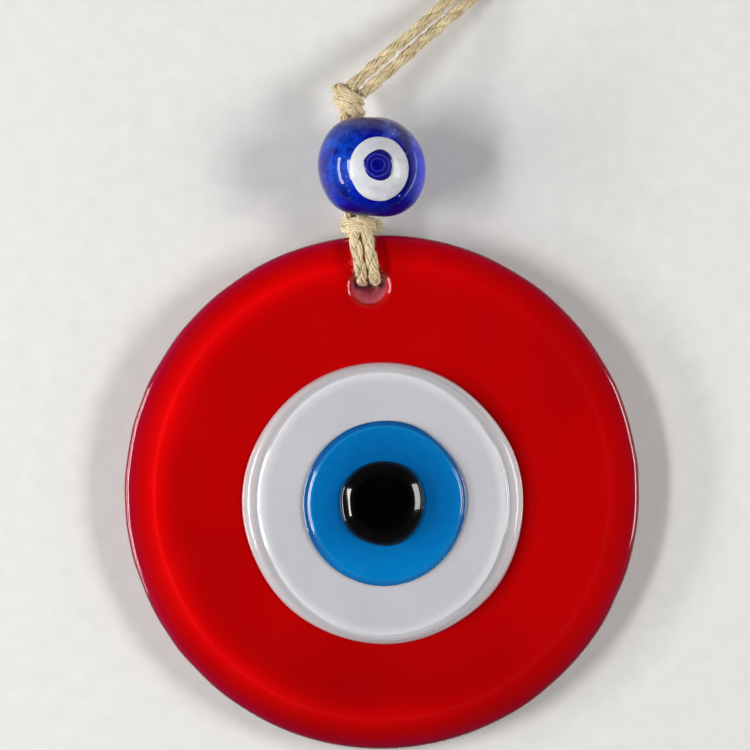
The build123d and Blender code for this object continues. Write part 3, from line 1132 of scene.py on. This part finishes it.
def irisFinish():
    material, tree, shader = newFinish("navyGlass")
    place = objectPlace(tree, beadMiddle + Vector(bead["irisMiddle"]) * mm)
    _, reach = flattened(tree, place)
    wavy = cloudNoise(tree, place, 500, 2.0)
    ripple = times(tree, maths(tree, "SUBTRACT", wavy, 0.5), 0.0008)
    reach = maths(tree, "ADD", reach, ripple)
    share = maths(tree, "DIVIDE", reach, bead["irisRadius"] * mm)
    colour = ramp(tree, share, [
        (0.0, (0.001, 0.001, 0.16)), (0.36, (0.002, 0.002, 0.20)), (0.44, (0.03, 0.035, 0.36)),
        (0.5, (0.003, 0.003, 0.19)), (0.66, (0.004, 0.004, 0.20)), (0.73, (0.04, 0.05, 0.38)),
        (0.8, (0.003, 0.003, 0.17)), (1.0, (0.004, 0.004, 0.14)),
    ])
    tree.links.new(colour, shader.inputs["Base Color"])
    setShader(shader, Roughness=0.18, Specular_IOR_Level=0.4, Coat_Weight=1.0, Coat_Roughness=0.03)
    bumped(tree, shader, wavy, 0.0002, 0.35)
    return material


beadGlass, beadSkin = makeBeadBody()
finishPiece(beadGlass, cobaltFinish(), "bead", "cobalt_glass", "bead_body")
beadWhite = eyePatch("beadWhite", beadSkin, bead["eyeHalfWidth"], bead["eyeHalfHeight"], bead["eyeShift"],
                     bead["proud"], 1.9, 0.03)
finishPiece(beadWhite, beadWhiteFinish(), "bead", "white_glass", "bead_eye_white")
beadIris = eyePatch("beadIris", beadSkin, bead["irisRadius"], bead["irisRadius"], bead["irisShift"],
                    2 * bead["proud"], 4.2, 0.09)
finishPiece(beadIris, irisFinish(), "bead", "navy_glass", "bead_eye_blue")
print("bead made")


# table and light
studio = {
    "tableSize": 3.0,
    "middle": (0, 10, 0),
    "distance": 720,
    "skyStrength": 0.15,
    # azimuth and elevation in degrees, watts, width and length in mm
    "strips": {
        "leftHigh": (180, 45, 3.1, 95, 410),
        "leftLow": (180, 22, 3.3, 80, 560),
        "rightHigh": (0, 39, 3.2, 180, 400),
        "rightLow": (0, 22, 0.4, 30, 420),
    },
}


def makeTable():
    bm = bmesh.new()
    bmesh.ops.create_grid(bm, x_segments=4, y_segments=4, size=studio["tableSize"] / 2)
    piece = newObject("table", meshFrom(bm, "table"))
    material, tree, shader = newFinish("paleTable")
    place = objectPlace(tree)
    grain = cloudNoise(tree, place, 300, 4.0)
    tree.links.new(ramp(tree, grain, [(0.3, (0.70, 0.69, 0.67)), (0.7, (0.74, 0.73, 0.71))]),
                   shader.inputs["Base Color"])
    setShader(shader, Roughness=0.8, Specular_IOR_Level=0.1)
    piece.data.materials.append(material)


def stripLight(name, azimuth, elevation, power, width, length):
    data = bpy.data.lights.new(name, "AREA")
    data.shape = "RECTANGLE"
    data.size, data.size_y = width * mm, length * mm
    data.energy = power
    lamp = bpy.data.objects.new(name, data)
    scene.collection.objects.link(lamp)
    turn, lift = math.radians(azimuth), math.radians(elevation)
    away = Vector((math.cos(turn) * math.cos(lift), math.sin(turn) * math.cos(lift), math.sin(lift)))
    # the strip's long side lies along Y
    across = Vector((0, 1, 0)).cross(away).normalized()
    lamp.matrix_world = Matrix((across, away.cross(across), away)).transposed().to_4x4()
    lamp.location = (away * studio["distance"] + Vector(studio["middle"])) * mm


def makeSky():
    world = bpy.data.worlds.new("softRoom")
    scene.world = world
    world.use_nodes = True
    tree = world.node_tree
    # darkest overhead
    _, _, height = partsOf(tree, addNode(tree, "TexCoord").outputs["Generated"])
    glow = ramp(tree, height, [
        (0.0, (0.9, 0.9, 0.9)), (0.4, (0.8, 0.8, 0.8)), (0.85, (0.5, 0.5, 0.5)), (0.98, (0.05, 0.05, 0.05)),
    ])
    tree.links.new(glow, tree.nodes["Background"].inputs["Color"])
    tree.nodes["Background"].inputs["Strength"].default_value = studio["skyStrength"]


makeTable()
for stripName, facts in studio["strips"].items():
    stripLight(stripName, *facts)
makeSky()
print("table and lights set")
